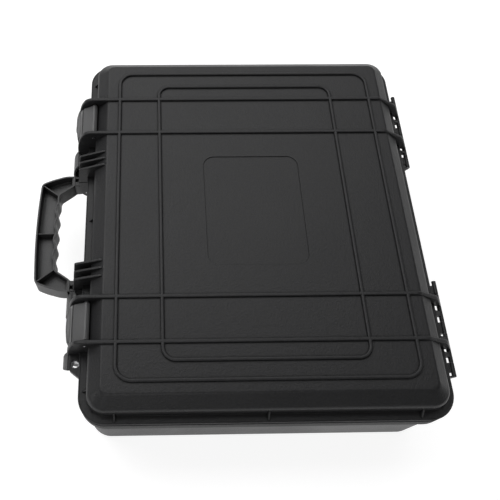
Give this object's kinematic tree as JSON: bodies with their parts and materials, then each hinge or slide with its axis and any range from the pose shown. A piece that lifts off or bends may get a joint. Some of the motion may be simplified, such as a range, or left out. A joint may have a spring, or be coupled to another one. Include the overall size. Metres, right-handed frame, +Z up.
{
  "type": "hard carrying case",
  "caption": "Hard carrying case with a sealed hinged lid, snap latches between guard fins, padlock holes, a folding carry handle and a foam lining.",
  "frame": {"origin": "middle of the closed case with its handle out, on the floor under the feet", "axes": "+X along the case to the right as seen from the handle, +Y from the handle to the hinges, +Z up out of the lid"},
  "size_m": [0.43, 0.4268, 0.1262],
  "materials": {
    "shell": "fine matte grain, black",
    "latch": "satin, slightly lighter black",
    "steel": "bright",
    "rubber": "matte black",
    "foam": "open cell foam, dark grey"
  },
  "bodies": {
    "base": {"base_shell": "shell", "hinge_pin_left": "steel", "hinge_pin_right": "steel", "handle_pin_left": "steel", "handle_pin_right": "steel", "base_eyelet_left": "steel", "base_eyelet_right": "steel", "pressure_valve": "shell", "pressure_valve_seal": "rubber", "pressure_valve_nut": "shell", "base_foam_pad": "foam", "base_foam_block": "foam"},
    "lid": {"lid_shell": "shell", "lid_gasket": "rubber", "lid_foam": "foam", "latch_pin_left": "steel", "latch_pin_right": "steel", "lid_eyelet_left": "steel", "lid_eyelet_right": "steel"},
    "latch_left": {"latch_left": "latch"},
    "latch_right": {"latch_right": "latch"},
    "handle": {"handle": "shell"}
  },
  "joints": [
    {"name": "lid_hinge", "type": "hinge", "parent": "base", "child": "lid", "pos_m": [0, 0.2112, 0.09], "axis": [-1, 0, 0], "range_deg": [0, 105]},
    {"name": "latch_left_pivot", "type": "hinge", "parent": "lid", "child": "latch_left", "pos_m": [-0.1203, -0.1484, 0.117], "axis": [-1, 0, 0], "range_deg": [0, 100]},
    {"name": "latch_right_pivot", "type": "hinge", "parent": "lid", "child": "latch_right", "pos_m": [0.1203, -0.1484, 0.117], "axis": [-1, 0, 0], "range_deg": [0, 100]},
    {"name": "handle_pivot", "type": "hinge", "parent": "base", "child": "handle", "pos_m": [0, -0.1595, 0.066], "axis": [1, 0, 0], "range_deg": [0, 78]}
  ]
}
